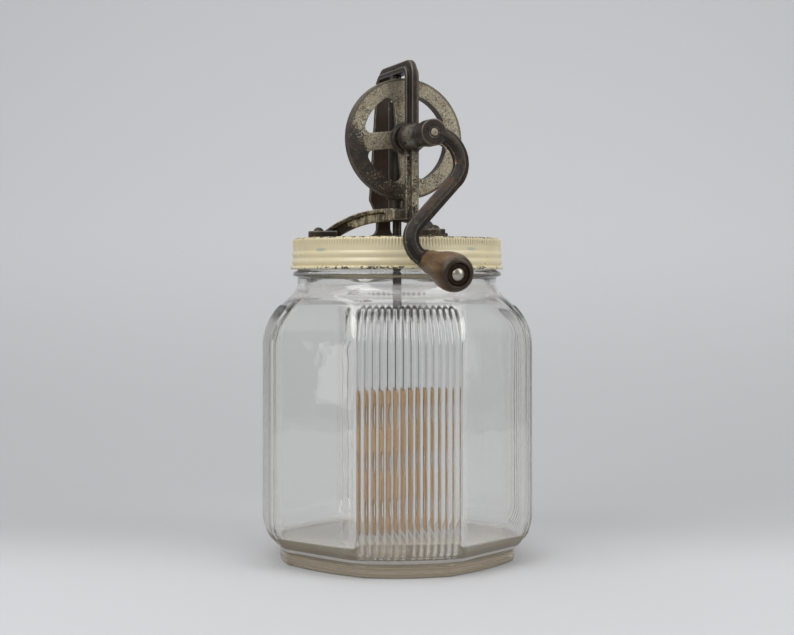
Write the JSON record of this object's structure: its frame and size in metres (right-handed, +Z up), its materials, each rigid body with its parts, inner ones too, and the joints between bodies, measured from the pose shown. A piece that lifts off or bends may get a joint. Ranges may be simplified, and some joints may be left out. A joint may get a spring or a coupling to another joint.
{
  "type": "glass jar butter churn",
  "caption": "Hand-cranked butter churn: ribbed square glass jar, screw lid with an iron gear frame, crown wheel and pinion, bent crank with a wooden grip, and a wooden paddle.",
  "frame": {"origin": "centre of the jar's flat base", "axes": "+Z up along the jar and the spindle, -Y along the crank axle towards the crank"},
  "size_m": [0.1572, 0.189, 0.2838],
  "materials": {
    "glass": "gloss",
    "cream_paint": "satin",
    "gasket_rubber": "matte",
    "worn_iron": "matte",
    "plain_steel": "satin",
    "silver_paint": "satin",
    "turned_wood": "satin",
    "paddle_wood": "matte"
  },
  "bodies": {
    "jar_body": {"jar": "glass"},
    "gasket_body": {"lid_gasket": "gasket_rubber"},
    "lid_body": {"lid": "cream_paint", "gear_frame": "worn_iron", "frame_rivets": "worn_iron", "rivet_burrs": "plain_steel", "lid_eyelet": "plain_steel"},
    "crank_body": {"drive_wheel": "silver_paint", "crank_axle": "plain_steel", "wheel_pin": "plain_steel", "axle_washer": "plain_steel", "crank_arm": "worn_iron", "handle_pin": "plain_steel", "handle_washer": "plain_steel", "handle_cap": "worn_iron"},
    "knob_body": {"handle_knob": "turned_wood"},
    "dasher_body": {"spindle": "plain_steel", "pinion": "worn_iron", "pinion_pin": "plain_steel", "paddle": "paddle_wood", "paddle_pins": "plain_steel"}
  },
  "joints": [
    {"name": "lid_lift", "type": "slide", "parent": "jar_body", "child": "gasket_body", "axis": [0, 0, 1], "range_m": [0, 0.18]},
    {"name": "lid_turn", "type": "hinge", "parent": "gasket_body", "child": "lid_body", "pos_m": [0, 0, 0.181], "axis": [0, 0, 1], "range_deg": [0, 360]},
    {"name": "crank_turn", "type": "hinge", "parent": "lid_body", "child": "crank_body", "pos_m": [0, -0.03, 0.2396], "axis": [0, -1, 0], "continuous": true},
    {"name": "spindle_spin", "type": "hinge", "parent": "lid_body", "child": "dasher_body", "pos_m": [0, 0, 0.2], "axis": [0, 0, 1], "continuous": true},
    {"name": "knob_spin", "type": "hinge", "parent": "crank_body", "child": "knob_body", "pos_m": [-0.00821, -0.06628, 0.16999], "axis": [0, -0.9833, -0.1822], "continuous": true}
  ],
  "couplings": [
    {"joint": "spindle_spin", "follows": "crank_turn", "ratio": 6}
  ]
}
